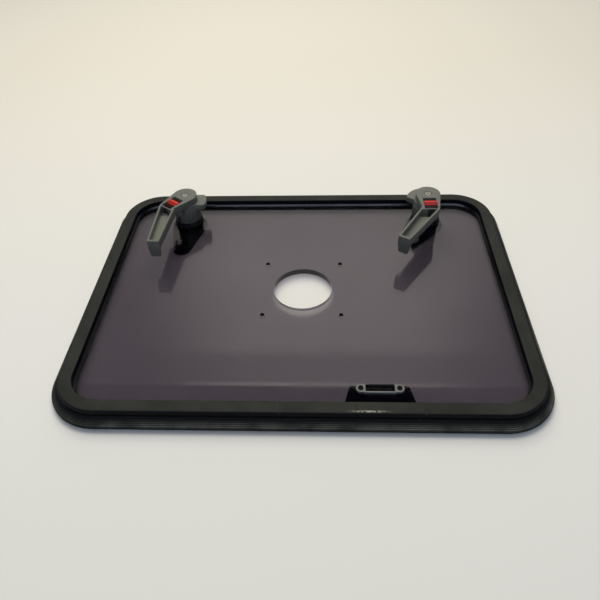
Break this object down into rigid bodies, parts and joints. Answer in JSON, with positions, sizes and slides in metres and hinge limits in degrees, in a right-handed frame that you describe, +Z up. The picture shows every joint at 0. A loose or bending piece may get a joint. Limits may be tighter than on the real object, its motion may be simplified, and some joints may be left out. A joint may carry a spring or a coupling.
{
  "type": "deck hatch lid",
  "caption": "Smoked acrylic deck hatch lid with rubber seal and ribbed edge trim, vent hole, cranked cam latch handles with lock buttons, and a stay bracket.",
  "frame": {"origin": "on the bench, under the centre of the vent hole, which is the centre of the lid's outline", "axes": "+Z up out of the cabin face, +Y towards the latch side, +X to the right seen from the stay side"},
  "size_m": [0.56, 0.428, 0.0608],
  "materials": {
    "smoked_acrylic": "polished smoked acrylic",
    "seal_rubber": "dull black",
    "trim_rubber": "dull black, finely ribbed",
    "sealant": "satin black sealant",
    "gasket_rubber": "dull black",
    "black_plastic": "satin black moulding",
    "grey_plastic": "fine textured grey moulding",
    "light_grey_plastic": "matt light grey moulding",
    "red_plastic": "satin red moulding",
    "white_plastic": "natural acetal",
    "stainless_steel": "bright stainless",
    "dark_steel": "blackened stainless"
  },
  "bodies": {
    "lid": {"lens": "smoked_acrylic", "hatch_seal": "seal_rubber", "edge_trim": "trim_rubber", "sealant_bead": "sealant", "stay_pad": "black_plastic", "stay_bracket": "light_grey_plastic", "bracket_screws": "dark_steel", "left_boss": "black_plastic", "left_boss_gasket": "gasket_rubber", "left_escutcheon": "black_plastic", "left_escutcheon_gasket": "gasket_rubber", "left_thrust_washer": "white_plastic", "right_boss": "black_plastic", "right_boss_gasket": "gasket_rubber", "right_escutcheon": "black_plastic", "right_escutcheon_gasket": "gasket_rubber", "right_thrust_washer": "white_plastic"},
    "left_handle": {"left_spindle": "stainless_steel", "left_spindle_orings": "gasket_rubber", "left_cam_barrel": "grey_plastic", "left_lever": "grey_plastic", "left_handle_washer": "stainless_steel", "left_handle_screw": "stainless_steel", "left_lock_pin": "stainless_steel", "left_lock_spring": "stainless_steel", "left_exterior_lever": "black_plastic"},
    "left_lock": {"left_lock_button": "red_plastic"},
    "right_handle": {"right_spindle": "stainless_steel", "right_spindle_orings": "gasket_rubber", "right_cam_barrel": "grey_plastic", "right_lever": "grey_plastic", "right_handle_washer": "stainless_steel", "right_handle_screw": "stainless_steel", "right_lock_pin": "stainless_steel", "right_lock_spring": "stainless_steel", "right_exterior_lever": "black_plastic"},
    "right_lock": {"right_lock_button": "red_plastic"}
  },
  "joints": [
    {"name": "left_handle_turn", "type": "hinge", "parent": "lid", "child": "left_handle", "pos_m": [-0.174, 0.149, 0.04], "axis": [0, 0, 1], "range_deg": [0, 90]},
    {"name": "left_lock_rock", "type": "hinge", "parent": "left_handle", "child": "left_lock", "pos_m": [-0.18752, 0.13039, 0.045], "axis": [-0.809, 0.5878, 0], "range_deg": [0, 8], "stiffness_Nm_per_rad": 0.4, "springref_deg": -5.73},
    {"name": "right_handle_turn", "type": "hinge", "parent": "lid", "child": "right_handle", "pos_m": [0.174, 0.149, 0.04], "axis": [0, 0, 1], "range_deg": [-55, 35]},
    {"name": "right_lock_rock", "type": "hinge", "parent": "right_handle", "child": "right_lock", "pos_m": [0.1744, 0.126, 0.045], "axis": [-0.9998, -0.0175, 0], "range_deg": [0, 8], "stiffness_Nm_per_rad": 0.4, "springref_deg": -5.73}
  ]
}
